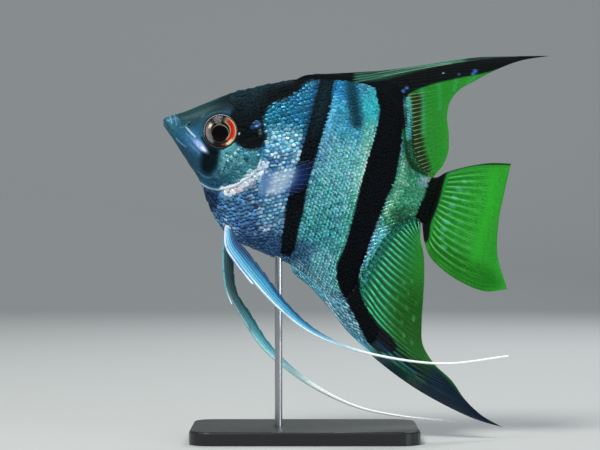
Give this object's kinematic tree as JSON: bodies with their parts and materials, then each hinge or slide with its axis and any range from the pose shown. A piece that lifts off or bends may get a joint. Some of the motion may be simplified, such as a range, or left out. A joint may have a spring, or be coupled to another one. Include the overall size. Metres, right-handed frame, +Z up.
{
  "type": "freshwater angelfish display model",
  "caption": "Still life-size model of a freshwater angelfish, nose up, with tall swept fins and long ventral streamers, on a flat base with a rod.",
  "frame": {"origin": "under the middle of the model's box, at the underside of the stand", "axes": "-X the way the fish swims, -Y toward its left flank, +Z up"},
  "size_m": [0.1131, 0.04, 0.1119],
  "materials": {
    "skin": "wet, scaled, blue-silver with black bars",
    "fin": "thin clear membrane with teal rays",
    "streamer": "pale blue rays running out to white",
    "eye": "clear glossy cornea",
    "stand_steel": "brushed",
    "stand_black": "satin black"
  },
  "bodies": {
    "root": {"head": "skin", "lower_jaw": "skin", "gill_cover_left": "skin", "gill_cover_right": "skin", "trunk": "skin", "tail_stalk": "skin", "eye_left": "eye", "eye_right": "eye", "dorsal_fin": "fin", "anal_fin": "fin", "tail_fin": "fin", "pectoral_fin_left": "fin", "pectoral_fin_right": "fin", "pelvic_fin_left": "streamer", "pelvic_fin_right": "streamer", "stand_rod": "stand_steel", "stand_base": "stand_black"}
  },
  "joints": []
}
